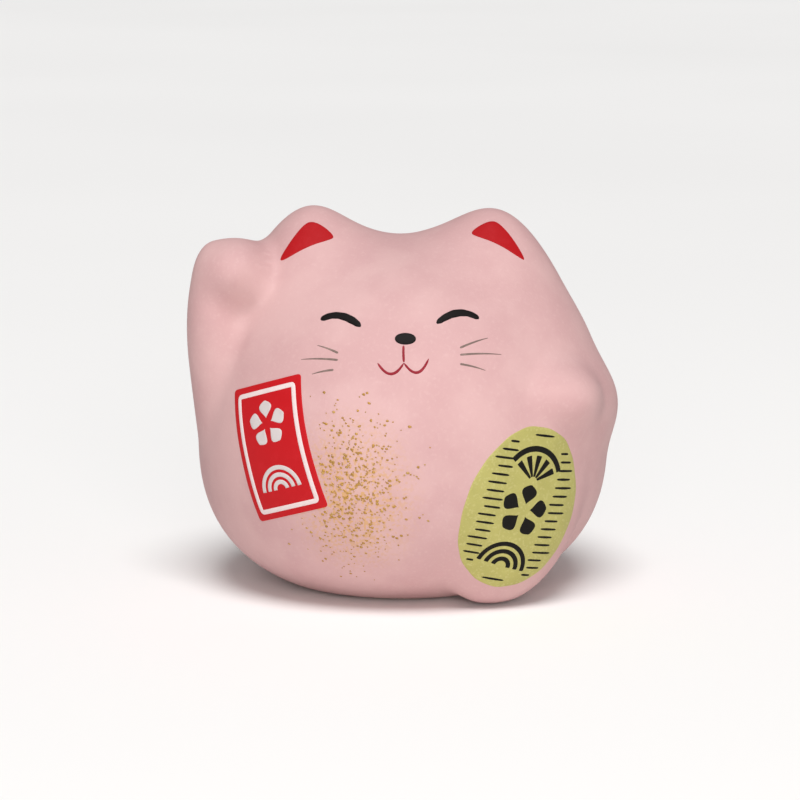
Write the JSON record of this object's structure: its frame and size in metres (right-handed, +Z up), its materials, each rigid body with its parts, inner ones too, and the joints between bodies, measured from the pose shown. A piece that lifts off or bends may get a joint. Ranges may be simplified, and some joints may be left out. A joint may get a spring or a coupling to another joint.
{
  "type": "beckoning cat figurine",
  "caption": "Round squat beckoning cat ornament, hollow cast earthenware in matt pink, right paw raised, oval gold coin at its left side and a red label at its right.",
  "frame": {"origin": "centre of the flat foot ring on the table, on the axis of the body's widest ring", "axes": "+Z up, -Y the way the face looks, +X to the cat's left (the viewer's right)"},
  "size_m": [0.06, 0.0536, 0.0531],
  "materials": {
    "earthenware": "matte",
    "pink_paint": "matte",
    "red_paint": "matte",
    "black_paint": "satin",
    "mouth_line": "matte",
    "whisker_line": "matte",
    "gold_fleck": "satin",
    "label_red": "satin",
    "label_white": "satin",
    "coin_gold": "satin"
  },
  "bodies": {
    "root": {"ceramic_shell": "earthenware", "pink_coat": "pink_paint", "right_ear_paint": "red_paint", "left_ear_paint": "red_paint", "right_eye_paint": "black_paint", "left_eye_paint": "black_paint", "nose_paint": "black_paint", "mouth_paint": "mouth_line", "right_whiskers": "whisker_line", "left_whiskers": "whisker_line", "gold_flecks": "gold_fleck", "fortune_label": "label_red", "label_border": "label_white", "label_blossom": "label_white", "label_waves": "label_white", "coin_plate": "coin_gold", "coin_rules": "black_paint", "coin_fan": "black_paint", "coin_blossom": "black_paint", "coin_waves": "black_paint"}
  },
  "joints": []
}
